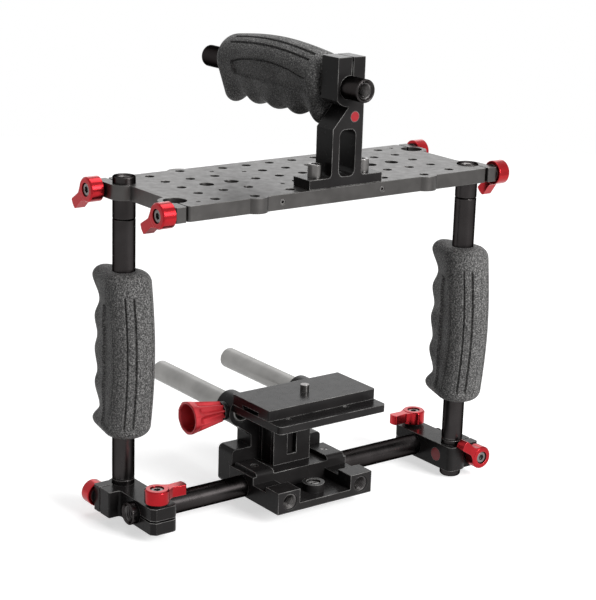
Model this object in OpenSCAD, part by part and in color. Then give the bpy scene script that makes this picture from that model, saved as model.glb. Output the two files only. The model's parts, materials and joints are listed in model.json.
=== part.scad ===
// Camera cage: a drilled top plate on two staggered posts, a cross rod with a riser and a
// quick-release plate, a top handle, moulded finger grips and red clamp levers.
// X runs to the right, Y away from the user, Z up. The origin is the centre hole of the top
// plate, on its upper face.

/* [Hole grid] */
// Distance between neighbouring accessory holes
grid_pitch = 19.05; // [16:0.05:21]
// Diameter of a quarter-inch accessory hole
quarter_hole_d = 6.4; // [5.5:0.1:7]
// Diameter of a three-eighths accessory hole
wide_hole_d = 9.6; // [8:0.1:11]
// Diameter of a small tapped hole
small_hole_d = 3; // [2:0.1:4]

/* [Top plate] */
// Thickness of the top plate
plate_t = 9.8; // [8:0.1:14]
// Plate left between the outer hole rows and the long edges
plate_edge = 9.9; // [8.5:0.1:14]
// Corner radius of the plate
plate_corner_r = 2.5; // [1:0.1:4]
// Radius of the half-round bosses on the long edges
edge_boss_r = 8.5; // [7:0.1:10]
// Distance of those bosses from the plate's middle, in hole pitches
edge_boss_at = 3.62; // [3.2:0.01:4]
// How far the boss holes sit inside the edge
edge_boss_inset = 5; // [4.5:0.1:6]
// Set screw diameter in the long edges
edge_screw_d = 4; // [3:0.1:5]
// Wall round each post bore
boss_wall = 3.1; // [2.5:0.1:5]
// Width of the clamping slits
slit_w = 1.2; // [1:0.1:2.4]
// How far the slit stands outward of the post axis
slit_out = 2.4; // [1.5:0.1:4]
// How far a plate jaw reaches past the post axis along Y
jaw_reach = 18.2; // [17.6:0.1:22]
// Distance of the plate clamp screw from the post axis along Y
plate_screw_out = 12.5; // [11.5:0.1:13.5]
// Depth of the plate clamp screw under the upper face
plate_screw_drop = 5; // [4.5:0.1:5.2]

/* [Rods and posts] */
// Diameter of posts, cross rod, support rods and handle tube
rod_d = 15; // [13:0.1:16]
// Diameter of the threaded bore in their ends
end_bore_d = 10.4; // [8:0.1:11]
// Depth of that thread
end_bore_depth = 14; // [8:0.5:18]
// Countersink at the mouth of the thread
end_bore_sink = 1.2; // [0.4:0.1:1.2]
// Radial clearance of a rod in a clamp bore
rod_fit = 0.05; // [0.02:0.01:0.1]
// Distance from the outer hole column to the post axis
post_margin = 24.15; // [20:0.05:40]
// Distance of each post from the plate's long centre line
post_y = 30; // [27:0.5:32]
// Depth of the cross rod's axis below the upper face
rod_drop = 213.3; // [205:0.1:280]
// How far the cross rod runs past the post axes
rod_overhang = 15.1; // [12:0.1:25]
// Depth of the joint where the upper post section screws in
post_joint_drop = 23.2; // [16:0.1:40]
// How far the left post stands above the plate
left_post_rise = 4.5; // [1:0.1:10]
// How far the right post stands above the plate
right_post_rise = 0.8; // [0.2:0.1:6]
// Height of the cap under the right post
end_cap_h = 6.1; // [3:0.1:10]
// Width of the marking groove round each post
post_groove_w = 1.2; // [0.6:0.1:2]
// Height of that groove above the corner block
post_groove_up = 3.4; // [2:0.1:8]
// Depth of that groove
post_groove_t = 0.5; // [0.2:0.1:1]

/* [Corner blocks] */
// Height of a corner block
block_h = 18; // [17:0.1:24]
// Width of a corner block along X
block_w = 19.5; // [18:0.1:24]
// How far the rod end of the block reaches past the rod axis
block_rod_reach = 23; // [21.5:0.1:28]
// How far the block's round end reaches past the post axis
block_post_reach = 10.2; // [10:0.1:11]
// How far the post ear stands out from the post axis
post_ear_out = 18; // [17.4:0.1:20]
// How far the post ear reaches towards the rod
post_ear_in = 12; // [9:0.1:14]
// How far the post ear reaches away from the rod
post_ear_back = 8; // [7:0.1:8.5]
// Distance of the post clamp screw from the post axis
post_screw_out = 13.9; // [13.7:0.1:14.4]
// Diameter of the plain round inlay in a block's inner face
block_inlay_d = 9.6; // [6:0.1:12]
// Distance of that inlay from the post axis, towards the rod
block_inlay_in = 5.6; // [4:0.1:8]
// Distance of the rod clamp screw from the rod axis
rod_screw_out = 15; // [14.5:0.1:17]
// Sideways offset of the rod clamp screw
rod_screw_side = 1.6; // [0:0.1:3]

/* [Levers] */
// Diameter of a lever's hub
hub_d = 16.4; // [15:0.1:17.6]
// Height of a lever's hub
hub_h = 9.5; // [8:0.1:11]
// Bevel round the hub's face
hub_bevel = 0.9; // [0.4:0.1:1.5]
// Reach of a lever's arm from the hub's axis
arm_reach = 20.5; // [18:0.5:24]
// Width of the arm at its tip
arm_tip_w = 7.4; // [6:0.1:10]
// Width of the arm at its waist
arm_waist_w = 6; // [5:0.1:8]
// Height of the arm
arm_h = 7; // [5.5:0.1:9]
// Diameter of the clamp screws
screw_d = 5; // [4:0.1:5.4]
// Diameter of the clamp screws' socket heads
screw_head_d = 8.4; // [7:0.1:9]
// Height of those heads
screw_head_h = 4; // [3:0.1:4.5]
// Width across the flats of the hexagon sockets
socket_af = 4; // [3:0.1:4.5]
// Diameter of the washers under the levers
washer_d = 12; // [11:0.1:13]
// Thickness of the washers on the plate and the post ears
thin_washer_t = 1; // [0.8:0.1:2]
// Thickness of the washers on the rod ears
thick_washer_t = 1.6; // [1:0.1:3]
// Radial play of a clamp screw in its hole
screw_fit = 0.05; // [0.02:0.01:0.1]

/* [Finger grips] */
// Distance between the finger hollows
finger_pitch = 24.5; // [21:0.5:28]
// Distance of the first hollow from the grip's lower end
first_hollow = 17; // [15:0.5:21]
// Distance of the last hollow from the grip's upper end
last_hollow = 21; // [18:0.5:28]
// Distance of the lower guard's tip from the grip's lower end
low_guard_in = 6; // [4:0.5:9]
// Distance of the upper guard's tip from the grip's upper end
high_guard_in = 5; // [3:0.5:9]
// Radius of the palm side
palm_r = 16; // [13:0.1:18]
// How far the palm side's centre sits behind the tube axis
palm_back = 2.6; // [1:0.1:6]
// How far the palm bulges at mid length
palm_bulge = 4.6; // [2:0.1:6]
// Reach of the ridges between the fingers
ridge_reach = 25; // [23.5:0.1:27]
// Reach of the two middle hollows
hollow_reach = 22.3; // [20:0.1:23]
// Reach of the two outer hollows, beside the guards
outer_hollow_reach = 20; // [18.5:0.1:22]
// Reach of the guard at each end
guard_reach = 27.5; // [25:0.1:32]
// Radius of the finger side
finger_r = 9; // [7:0.1:11]
// Rounding of the grip's ends
grip_end_r = 7; // [3:0.5:9]
// Depth of the palm grooves
palm_groove_t = 0.9; // [0.4:0.1:1.5]
// Depth of the long side panels
side_panel_t = 1.2; // [0.5:0.1:2]
// Depth of the side grips' lower ends under the plate's upper face
side_grip_drop = 169.5; // [160:0.5:185]
// How far the left grip is turned outward on its post, in degrees
left_grip_turn = 8; // [0:1:20]

/* [Handle] */
// Height of the handle tube's axis above the plate
handle_up = 63.4; // [55:0.1:80]
// How far the tube stands out in front of the bracket
tube_front = 16.5; // [12:0.1:30]
// How far the tube stands out behind the grip
tube_back = 27.2; // [10:0.1:40]
// Gap between the bracket and the handle grip
handle_gap = 3.1; // [1.5:0.1:8]
// Depth of the bracket along Y
bracket_d = 17; // [14:0.1:18]
// Thickness of the bracket's foot
foot_t = 6.2; // [5:0.1:9]
// Foot left beyond each foot screw
foot_end = 10.45; // [8:0.05:14]
// Half the width of the bracket's column
column_half = 12.1; // [10.5:0.1:13.8]
// Distance from the tube axis to the clamp's thin side
clamp_thin = 9.6; // [9.3:0.1:11]
// Radius of the clamp's round underside
clamp_r = 12.5; // [11:0.1:13.5]
// Height of the clamp's top above the tube axis
clamp_top = 19.2; // [17:0.1:24]
// Height where the column starts to narrow
column_top = 37.2; // [32:0.1:38]
// Half the width of the window in the column
window_half = 6.4; // [4:0.1:8]
// Corner radius of that window
window_r = 4; // [2:0.1:4]
// Diameter of the foot screws' heads
foot_head_d = 9.4; // [8:0.1:11]
// Height of the foot screws' heads
foot_head_h = 8.6; // [6:0.1:10]
// Diameter of the bracket's clamp screw
pinch_d = 4; // [3:0.1:4.5]
// Diameter of its head
pinch_head_d = 7; // [5.5:0.1:7.6]
// Diameter of the plain round inlays
inlay_d = 6.5; // [4:0.1:8]
// Thickness of the round inlays
inlay_t = 0.8; // [0.5:0.1:1.5]

/* [Base] */
// Left end of the base from the middle
base_left = 43.5; // [42.5:0.1:50]
// Right end of the base from the middle
base_right = 35.5; // [34.5:0.1:44]
// Near face of the base in front of the rod axis
base_near = 42.3; // [40:0.1:50]
// Height of the near blocks above the rod axis
base_block_up = 8.6; // [8.2:0.1:9.4]
// Depth of the base's underside below the rod axis
base_under = 6.7; // [6:0.1:6.9]
// Height of the deck over the rod
deck_up = 10; // [9.7:0.1:10.6]
// Height of the two raised housings over the rod
housing_up = 13; // [12:0.1:15]
// Half the depth of those housings
housing_half = 13; // [11.5:0.1:14]
// Width of a near block
near_block_w = 18; // [16.5:0.1:20]
// Length of a near block's full height
near_block_d = 14.3; // [12:0.1:18]
// Thickness of the recessed floor
floor_t = 5.2; // [4:0.1:6]
// Thickness of the step behind the near blocks
step_t = 11.5; // [8:0.1:13]
// Diameter of the threaded sockets in the near face
socket_d = 10.4; // [9:0.1:11]
// Depth of those sockets
socket_depth = 12.5; // [10:0.5:13.5]
// Distance of the tripod boss in front of the rod axis
tripod_near = 28; // [24:0.5:32]
// Diameter of the tripod boss
tripod_boss_d = 15; // [13:0.1:18]
// Height of the tripod boss above the floor
tripod_boss_h = 5.8; // [3:0.1:8]
// Diameter of the tripod bushing
bushing_d = 9.6; // [9:0.1:11]
// Diameter of the base's lock screws
lock_screw_d = 5; // [4:0.1:6]
// How far the set screws sit below their mouths
screw_sink = 0.3; // [0.1:0.1:0.8]
// Gap between a lock screw's tip and the cross rod
lock_tip_gap = 0.3; // [0.1:0.1:1]

/* [Riser and support rods] */
// Distance between the support rods
support_span = 60; // [56:0.5:70]
// Middle of the support rods to the left of the cage's middle
support_shift = 3.5; // [0:0.1:6]
// Height of the support rods above the cross rod
support_up = 47.3; // [44:0.1:60]
// Length of the support rods
support_len = 105.2; // [60:0.1:200]
// Wall of the ears round the support rods
ear_wall = 3.4; // [2.5:0.1:5]
// Thickness of the rod bracket along Y
rod_bracket_t = 16.7; // [14:0.1:22]
// Distance of the rod bracket's near face behind the rod axis
rod_bracket_y = 15.2; // [14.6:0.1:20]
// Height of the rod bracket's lower block
lower_block_h = 27; // [22:0.1:30]
// Half the width of the rod bracket's neck
neck_half = 22.5; // [18:0.1:24]
// Half the width of the riser pillar
pillar_half = 15.5; // [13:0.1:18]
// Depth of the pillar in front of the rod bracket
pillar_d = 17.2; // [13:0.1:20]
// Width of the shallow channel down each side of the pillar
pillar_channel_w = 10.8; // [8:0.1:12]
// Depth of that channel
pillar_channel_t = 1.2; // [0.6:0.1:2.5]
// Width of the pillar's front groove
pillar_groove_w = 7.6; // [5:0.1:10]
// Depth of that groove
pillar_groove_t = 4; // [2:0.1:6]
// Height where the groove ends above the deck
pillar_groove_up = 6.3; // [3:0.1:10]

/* [Clamp knob] */
// Diameter of the knob's open end
knob_big_d = 23.5; // [20:0.1:26]
// Diameter of the knob's inner end
knob_small_d = 14.5; // [13:0.1:16]
// Length of the knob
knob_len = 26.8; // [22:0.1:32]
// Width of the smooth rim at the open end
knob_rim = 6; // [4:0.1:8]
// Number of flutes
knob_flutes = 10; // [6:1:12]
// Radius of a flute
flute_r = 2.1; // [1.4:0.1:2.2]
// Depth of the hollow in the open end
knob_hollow = 13; // [6:0.1:16]
// Wall round the hollow
knob_wall = 2; // [1.5:0.1:3]
// Length of the collar behind the knob
collar_len = 2; // [1:0.1:4]
// Diameter of the knob's stud
stud_d = 6; // [5:0.1:7]

/* [Quick release] */
// Left end of the quick-release plates from the middle
qr_left = 42; // [38:0.5:50]
// Right end of the quick-release plates from the middle
qr_right = 48; // [40:0.5:52]
// Near edge of the quick-release base in front of the rod axis
qr_near = 40; // [36:0.5:46]
// Thickness of the quick-release base
qr_base_t = 5.3; // [5:0.1:8]
// Near edge of the camera plate in front of the rod axis
camera_plate_near = 27; // [24:0.5:33]
// Thickness of the camera plate
camera_plate_t = 7.6; // [7.2:0.1:10]
// Height of the dovetail rail
rail_h = 2.8; // [2.2:0.1:3]
// Width of the dovetail rail at its foot
rail_w = 16; // [15:0.1:19]
// Gap round the dovetail rail
rail_gap = 0.1; // [0.05:0.05:0.3]
// Diameter of the camera screw
camera_screw_d = 6.2; // [5.8:0.1:6.4]
// How far the camera screw stands above the camera plate
camera_screw_up = 5; // [4:0.1:6]
// Diameter of the camera screw's head
camera_head_d = 13; // [11:0.1:13.5]

/* [Hidden] */
$fn = 64;
eps = 0.01;
grid_cols = 11;
grid_rows = 5;
rod_r = rod_d / 2;
clamp_bore_r = rod_r + rod_fit;
end_bore_r = end_bore_d / 2;

// The grid's open places, row by row from the far edge
grid_map = [[0, 3, 4, 5, 6, 7, 10], [0, 1, 2, 4, 5, 6, 8, 9, 10], [0, 3, 4, 5, 6, 7, 10],
            [0, 1, 2, 4, 5, 6, 8, 9, 10], [0, 3, 4, 5, 6, 7, 10]];
wide_cols = [1, 2, 8, 9];
grid_half_x = (grid_cols - 1) / 2 * grid_pitch;
grid_half_y = (grid_rows - 1) / 2 * grid_pitch;

post_x = grid_half_x + post_margin;
plate_half_y = grid_half_y + plate_edge;
boss_r = clamp_bore_r + boss_wall;
slit_x = post_x + slit_out;
plate_half_x = slit_x - slit_w / 2;
plate_screw_y = post_y + plate_screw_out;
plate_screw_in = 10;
edge_screw_depth = 5;
edge_boss_x = edge_boss_at * grid_pitch;
edge_screw_x = [-2.667 * grid_pitch, 1.543 * grid_pitch];
// Places of the small tapped holes, in hole pitches from the middle
small_holes = [[-2.69, 1.66], [-1.685, 1.134], [-1.685, -1.134], [1.685, 1.134],
               [1.685, -1.134], [-5.696, -2.068], [5.696, 2.068]];

rod_z = -rod_drop;
block_top = rod_z + block_h / 2;
block_bottom = rod_z - block_h / 2;
block_chamfer = 3;
screw_hole_r = screw_d / 2 + screw_fit;
block_slit_w = 1.4;
// Skin under a blind screw hole, and the gap under the screw in it
skin_t = 1;
tip_gap = 2;
arm_drop = 0.4;
foot_bevel = 0.4;
arm_clear = 0.4;
// A post lever's hub is longer, so that its arm passes the block's round end
post_hub_h = block_post_reach + arm_clear + arm_h + arm_drop - post_ear_back - thin_washer_t;

recess_d = screw_head_d + 0.8;
recess_t = screw_head_h + 0.8;
washer_bore_d = screw_d + 2 * screw_fit;

grip_len = first_hollow + 3 * finger_pitch + last_hollow;
grip_rings = 26;
// Places of the palm grooves across the grip, from its middle
palm_groove_v = [2.7, 8.5];
// A side panel runs from this share of the flank, back from the palm's round, to this angle
// from the finger side
panel_flank = 0.4;
panel_back_turn = 116;
// Places of the ridges between two hollows, as a share of the finger pitch
ridge_at = [0.62, 0.56, 0.47];

bracket_y = -grid_half_y;
bracket_near = bracket_y - bracket_d / 2;
bracket_far = bracket_y + bracket_d / 2;
foot_half = grid_pitch + foot_end;
handle_grip_y = bracket_far + handle_gap;
handle_tube_near = bracket_near - tube_front;
handle_tube_far = handle_grip_y + grip_len + tube_back;
pinch_z = handle_up + (clamp_top + clamp_bore_r) / 2 + 0.7;
pinch_x = 2;
pinch_slit_w = 1.2;
inlay_z = column_top + inlay_d / 2 + 4;
inlay_x = 5.2;

base_bottom = rod_z - base_under;
base_floor = base_bottom + floor_t;
block_up_z = rod_z + base_block_up;
deck_z = rod_z + deck_up;
housing_z = rod_z + housing_up;
support_x = [-support_shift - support_span / 2, -support_shift + support_span / 2];
housing_w = 14.5;
tripod_x = -support_shift;
lock_screw_depth = housing_up - screw_sink - rod_r - lock_tip_gap;
support_z = rod_z + support_up;
ear_r = clamp_bore_r + ear_wall;
bracket_back = rod_bracket_y + rod_bracket_t;
lower_block_z = base_bottom + lower_block_h;
lower_block_left = 8;
lower_block_right = 7.7;
neck_drop = 18.4;
base_bolt_x = 13;
base_bolt_up = 8;
qr_z = support_z + 1.5;
qr_base_top = qr_z + qr_base_t;
camera_plate_bottom = qr_base_top + 0.05;
camera_plate_top = qr_base_top + camera_plate_t;
qr_far = rod_bracket_y - 0.2;
rail_y = (qr_far - camera_plate_near) / 2;
rail_flare = 1.4;
qr_screw_x = [-27.3, 21];
qr_screw_inset = 10.5;
qr_screw_d = 3.6;
camera_screw_x = (qr_right - qr_left) / 2;

knob_y = (rod_bracket_y + bracket_back) / 2;
ear_out_x = support_x[0] - ear_r;
collar_x = ear_out_x - collar_len;
knob_start = collar_x - 0.15;
stud_end = support_x[0] - clamp_bore_r - 0.1;
knob_stud_in = 9;

red = "firebrick";
black = "#2b2b2e";
steel = "silver";

// ---- Helpers ----

function unit(v) = v / norm(v);

// Points of a corner b between a and c, rounded to radius r
function corner(a, b, c, r, n = 6) =
    r <= 0 ? [b] :
    let (p = unit(a - b), q = unit(c - b), half = acos(p * q) / 2,
         m = b + unit(p + q) * r / sin(half),
         s = b + p * r / tan(half) - m,
         turn = (p[0] * q[1] - p[1] * q[0] > 0 ? -1 : 1) * (180 - 2 * half))
    [for (i = [0:n]) let (w = turn * i / n)
        m + [s[0] * cos(w) - s[1] * sin(w), s[0] * sin(w) + s[1] * cos(w)]];

// Closed outline from rows of [x, y, corner radius]
function outline(rows) =
    let (n = len(rows), at = [for (r = rows) [r[0], r[1]]])
    [for (i = [0:n - 1]) each corner(at[(i + n - 1) % n], at[i], at[(i + 1) % n], rows[i][2])];

function box_outline(x0, x1, y0, y1, r) =
    outline([[x0, y0, r], [x1, y0, r], [x1, y1, r], [x0, y1, r]]);

module block(x0, x1, y0, y1, z0, z1) {
    translate([x0, y0, z0]) cube([x1 - x0, y1 - y0, z1 - z0]);
}

// Extrudes an XZ outline from y0 to y1
module plate_along_y(y0, y1) {
    translate([0, y1, 0]) rotate([90, 0, 0]) linear_extrude(y1 - y0) children();
}

module rod_x(x0, x1, r) {
    translate([x0, 0, 0]) rotate([0, 90, 0]) cylinder(r = r, h = x1 - x0);
}

module rod_y(y0, y1, r) {
    translate([0, y0, 0]) rotate([-90, 0, 0]) cylinder(r = r, h = y1 - y0);
}

// A half turn about Z takes the left corner's parts to the right corner
module half_turn(right) {
    rotate([0, 0, right ? 180 : 0]) children();
}

// Tube with an edge bevel and a threaded bore at its ends, along Z
module tube(len, bottom_bore = true, top_bore = true) {
    bevel = 0.6;
    difference() {
        rotate_extrude()
            polygon([[0, 0], [rod_r - bevel, 0], [rod_r, bevel], [rod_r, len - bevel],
                     [rod_r - bevel, len], [0, len]]);
        if (bottom_bore) end_bore();
        if (top_bore) translate([0, 0, len]) mirror([0, 0, 1]) end_bore();
    }
}

// Threaded bore with a countersunk mouth at z = 0, running up
module end_bore() {
    translate([0, 0, -eps]) cylinder(r = end_bore_r, h = end_bore_depth + eps);
    translate([0, 0, -eps])
        cylinder(r1 = end_bore_r + end_bore_sink + eps, r2 = end_bore_r, h = end_bore_sink + eps);
}

// Socket head screw: the head's underside is at z = 0 and the shank points down
module socket_screw(d, head_d, head_h, shank, af = socket_af) {
    bevel = 0.4;
    difference() {
        union() {
            rotate_extrude()
                polygon([[0, 0], [head_d / 2, 0], [head_d / 2, head_h - bevel],
                         [head_d / 2 - bevel, head_h], [0, head_h]]);
            translate([0, 0, -shank]) cylinder(d = d, h = shank + eps);
        }
        translate([0, 0, head_h * 0.45]) cylinder(d = af / cos(30), h = head_h, $fn = 6);
    }
}

// ---- Top plate ----

module grid_holes() {
    for (j = [0:grid_rows - 1], i = grid_map[j])
        translate([(i - (grid_cols - 1) / 2) * grid_pitch, ((grid_rows - 1) / 2 - j) * grid_pitch])
            circle(d = quarter_hole_d);
    for (i = wide_cols)
        translate([(i - (grid_cols - 1) / 2) * grid_pitch, 0]) circle(d = wide_hole_d);
    for (p = small_holes) translate(p * grid_pitch) circle(d = small_hole_d);
}

module plate_corner_2d() {
    translate([post_x, post_y]) circle(r = boss_r);
    jaw_in = slit_x + slit_w / 2;
    polygon(box_outline(jaw_in, post_x + boss_r, post_y, post_y + jaw_reach, 1));
}

module plate_2d() {
    difference() {
        union() {
            polygon(box_outline(-plate_half_x, plate_half_x, -plate_half_y, plate_half_y,
                                plate_corner_r));
            for (sx = [-1, 1], sy = [-1, 1]) scale_sign(sx, sy) {
                plate_corner_2d();
                translate([edge_boss_x, plate_half_y - edge_boss_inset]) circle(r = edge_boss_r);
            }
        }
        for (sx = [-1, 1], sy = [-1, 1]) scale_sign(sx, sy) {
            translate([post_x, post_y]) circle(r = clamp_bore_r);
            translate([slit_x - slit_w / 2, post_y]) square([slit_w, jaw_reach + 1]);
            translate([edge_boss_x, plate_half_y - edge_boss_inset]) circle(d = quarter_hole_d);
        }
        grid_holes();
    }
}

// Mirrors to one of the four quarters
module scale_sign(sx, sy) {
    mirror([sx < 0 ? 1 : 0, 0, 0]) mirror([0, sy < 0 ? 1 : 0, 0]) children();
}

module top_plate() {
    color("#5b5957")
        difference() {
            translate([0, 0, -plate_t]) linear_extrude(plate_t) plate_2d();
            for (sx = [-1, 1], sy = [-1, 1])
                scale_sign(sx, sy)
                    translate([0, plate_screw_y, -plate_screw_drop])
                        rod_x(post_x - plate_screw_in, post_x + boss_r + 1, screw_hole_r);
            for (right = [false, true], x = edge_screw_x)
                half_turn(right)
                    translate([x, 0, -plate_t / 2])
                        rod_y(-plate_half_y - 1, -plate_half_y + edge_screw_depth, edge_screw_d / 2);
        }
}

module plate_set_screws() {
    color(steel)
        for (right = [false, true], x = edge_screw_x)
            half_turn(right)
                translate([x, 0, -plate_t / 2])
                    difference() {
                        rod_y(-plate_half_y + screw_sink, -plate_half_y + edge_screw_depth,
                              edge_screw_d / 2);
                        rotate([-90, 0, 0]) translate([0, 0, -plate_half_y])
                            cylinder(d = edge_screw_d / 2, h = 2.4, $fn = 6);
                    }
}

// Puts a lever's own frame (axis +Z out of the hub's face) at a plate corner
module at_plate_corner(sx, sy, out) {
    translate([sx * (post_x + boss_r + out), sy * plate_screw_y, -plate_screw_drop])
        rotate([0, sx * 90, 0]) children();
}

module washer(t) {
    difference() {
        cylinder(d = washer_d, h = t);
        translate([0, 0, -eps]) cylinder(d = washer_bore_d, h = t + 2 * eps);
    }
}

module plate_lever_washers() {
    color(black)
        for (sx = [-1, 1], sy = [-1, 1]) at_plate_corner(sx, sy, 0) washer(thin_washer_t);
}

// ---- Levers ----

// Outline of the arm, from the hub to the tip and back
function arm_outline() =
    let (tip = arm_tip_w / 2, waist = arm_waist_w / 2, hub = hub_d / 2)
    outline([[-hub * 0.2, -hub * 0.85, 0], [hub * 0.62, -hub * 0.72, 2],
             [hub * 1.25, -waist, 3], [arm_reach, -tip, 1.2],
             [arm_reach + 0.6, 0, 6], [arm_reach, tip, 1.2], [hub * 1.25, waist, 3],
             [hub * 0.62, hub * 0.72, 2], [-hub * 0.2, hub * 0.85, 0]]);

module lever(h) {
    color(red)
        difference() {
            union() {
                rotate_extrude()
                    polygon([[0, 0], [hub_d / 2 - foot_bevel, 0], [hub_d / 2, foot_bevel],
                             [hub_d / 2, h - hub_bevel], [hub_d / 2 - hub_bevel, h], [0, h]]);
                translate([0, 0, h - arm_h - arm_drop]) linear_extrude(arm_h) polygon(arm_outline());
            }
            translate([0, 0, -eps]) cylinder(r = screw_hole_r, h = h + 2 * eps);
            translate([0, 0, h - recess_t]) cylinder(d = recess_d, h = recess_t + eps);
        }
}

// The clamp screw that a lever turns, reaching below the lever's foot
module lever_screw(h, below) {
    color(steel)
        translate([0, 0, h - recess_t])
            socket_screw(screw_d, screw_head_d, screw_head_h, h - recess_t + below);
}

plate_screw_below = thin_washer_t + boss_r + plate_screw_in - tip_gap;

module plate_lever(sx, sy, turn) {
    at_plate_corner(sx, sy, thin_washer_t) rotate([0, 0, turn]) lever(hub_h);
}

module plate_screw(sx, sy) {
    at_plate_corner(sx, sy, thin_washer_t) lever_screw(hub_h, plate_screw_below);
}

// Arm directions as they are left when the cage is tightened
near_left_turn = 124;
far_left_turn = 127;
near_right_turn = 40;
far_right_turn = 60;
left_rod_turn = 0;
right_rod_turn = 2;
left_post_turn = 0;
right_post_turn = -36;

module near_left_plate_lever() { plate_lever(-1, -1, near_left_turn); }
module far_left_plate_lever() { plate_lever(-1, 1, far_left_turn); }
module near_right_plate_lever() { plate_lever(1, -1, near_right_turn); }
module far_right_plate_lever() { plate_lever(1, 1, far_right_turn); }
module near_left_plate_screw() { plate_screw(-1, -1); }
module far_left_plate_screw() { plate_screw(-1, 1); }
module near_right_plate_screw() { plate_screw(1, -1); }
module far_right_plate_screw() { plate_screw(1, 1); }

// ---- Corner blocks ----

// The block seen from above: its post end is square on the inner side and round about the
// post on the lever's side
module block_2d() {
    x0 = -post_x - block_w / 2;
    x1 = -post_x + block_w / 2;
    y0 = -block_rod_reach;
    y1 = post_y + block_post_reach;
    ear = -post_x - post_ear_out;
    back = post_y + post_ear_back;
    polygon(outline([[x0 + block_chamfer, y0, 0], [x1, y0, 4], [x1, y1, 4], [-post_x, y1, 0],
                     [-post_x, back, 0], [ear, back, 1], [ear, post_y - post_ear_in, 1],
                     [x0, post_y - post_ear_in, 2], [x0, y0 + block_chamfer, 0]]));
    intersection() {
        translate([-post_x, post_y]) circle(r = block_post_reach);
        translate([-post_x - 2 * block_post_reach, post_y])
            square([2 * block_post_reach, 2 * block_post_reach]);
    }
}

module at_rod_screw(up) {
    translate([-post_x - rod_screw_side, -rod_screw_out, block_top + up]) children();
}

module at_post_screw(out) {
    translate([-post_x - post_screw_out, post_y + post_ear_back + out, rod_z])
        rotate([-90, 0, 0]) children();
}

module corner_block() {
    color(black)
        difference() {
            translate([0, 0, block_bottom]) linear_extrude(block_h) block_2d();
            translate([0, 0, rod_z]) rod_x(-post_x - post_ear_out, -post_x + block_w, clamp_bore_r);
            translate([-post_x, post_y, block_bottom - 1]) cylinder(r = clamp_bore_r, h = block_h + 2);
            block(-post_x - block_w, -post_x + block_w, -block_rod_reach - 1, 0,
                  rod_z - block_slit_w / 2, rod_z + block_slit_w / 2);
            block(-post_x - post_ear_out - 1, -post_x, post_y - block_slit_w / 2,
                  post_y + block_slit_w / 2, block_bottom - 1, block_top + 1);
            at_rod_screw(skin_t - block_h) cylinder(r = screw_hole_r, h = block_h);
            at_post_screw(skin_t - post_ear_in - post_ear_back)
                cylinder(r = screw_hole_r, h = post_ear_in + post_ear_back);
            at_block_inlay() rod_x(-inlay_t, 1, block_inlay_d / 2);
        }
}

module at_block_inlay() {
    translate([-post_x + block_w / 2, post_y - block_inlay_in, rod_z]) children();
}

module left_corner_block() { corner_block(); }
module right_corner_block() { half_turn(true) corner_block(); }

module block_inlays() {
    color(red)
        for (right = [false, true])
            half_turn(right) at_block_inlay() rod_x(-inlay_t, 0, block_inlay_d / 2);
}

module block_lever_washers() {
    color(black)
        for (right = [false, true]) half_turn(right) {
            at_rod_screw(0) washer(thick_washer_t);
            at_post_screw(0) washer(thin_washer_t);
        }
}

rod_screw_below = thick_washer_t + block_h - skin_t - tip_gap;
post_screw_below = thin_washer_t + post_ear_in + post_ear_back - skin_t - tip_gap;

module rod_lever(right, turn) {
    half_turn(right) at_rod_screw(thick_washer_t) rotate([0, 0, turn]) lever(hub_h);
}

module post_lever(right, turn) {
    half_turn(right) at_post_screw(thin_washer_t) rotate([0, 0, turn]) lever(post_hub_h);
}

module left_rod_lever() { rod_lever(false, left_rod_turn); }
module right_rod_lever() { rod_lever(true, right_rod_turn); }
module left_post_lever() { post_lever(false, left_post_turn); }
module right_post_lever() { post_lever(true, right_post_turn); }
module left_rod_screw() { at_rod_screw(thick_washer_t) lever_screw(hub_h, rod_screw_below); }
module right_rod_screw() { half_turn(true) left_rod_screw(); }
module left_post_screw() {
    at_post_screw(thin_washer_t) lever_screw(post_hub_h, post_screw_below);
}
module right_post_screw() { half_turn(true) left_post_screw(); }

// ---- Posts and cross rod ----

stud_len = end_bore_depth - 2;

module post(right) {
    groove_z = block_top + post_groove_up - block_bottom;
    color(black)
        half_turn(right)
            translate([-post_x, post_y, block_bottom])
                difference() {
                    tube(-post_joint_drop - block_bottom);
                    translate([0, 0, groove_z])
                        difference() {
                            cylinder(r = rod_r + 1, h = post_groove_w);
                            cylinder(r = rod_r - post_groove_t, h = post_groove_w);
                        }
                }
}

// Upper post section with the stud that screws into the post below
module post_extension(right, rise) {
    color(black)
        half_turn(right)
            translate([-post_x, post_y, -post_joint_drop]) {
                tube(post_joint_drop + rise, bottom_bore = false);
                translate([0, 0, -stud_len]) cylinder(r = end_bore_r, h = stud_len + eps);
            }
}

module left_post() { post(false); }
module right_post() { post(true); }
module left_post_extension() { post_extension(false, left_post_rise); }
module right_post_extension() { post_extension(true, right_post_rise); }

module right_post_end_cap() {
    edge = 2;
    color(black)
        translate([post_x, -post_y, block_bottom]) {
            rotate_extrude()
                polygon([[0, -end_cap_h], for (a = [0:15:90])
                            [rod_r - edge + edge * sin(a), -end_cap_h + edge - edge * cos(a)],
                         [rod_r, 0], [0, 0]]);
            cylinder(r = end_bore_r, h = stud_len);
        }
}

module cross_rod() {
    half = post_x + rod_overhang;
    color(black)
        translate([-half, 0, rod_z]) rotate([0, 90, 0]) tube(2 * half);
}

// ---- Finger grips ----

function ease(t) = (1 - cos(180 * max(0, min(1, t)))) / 2;

hollow_at = [for (i = [0:3]) first_hollow + i * finger_pitch];

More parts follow.
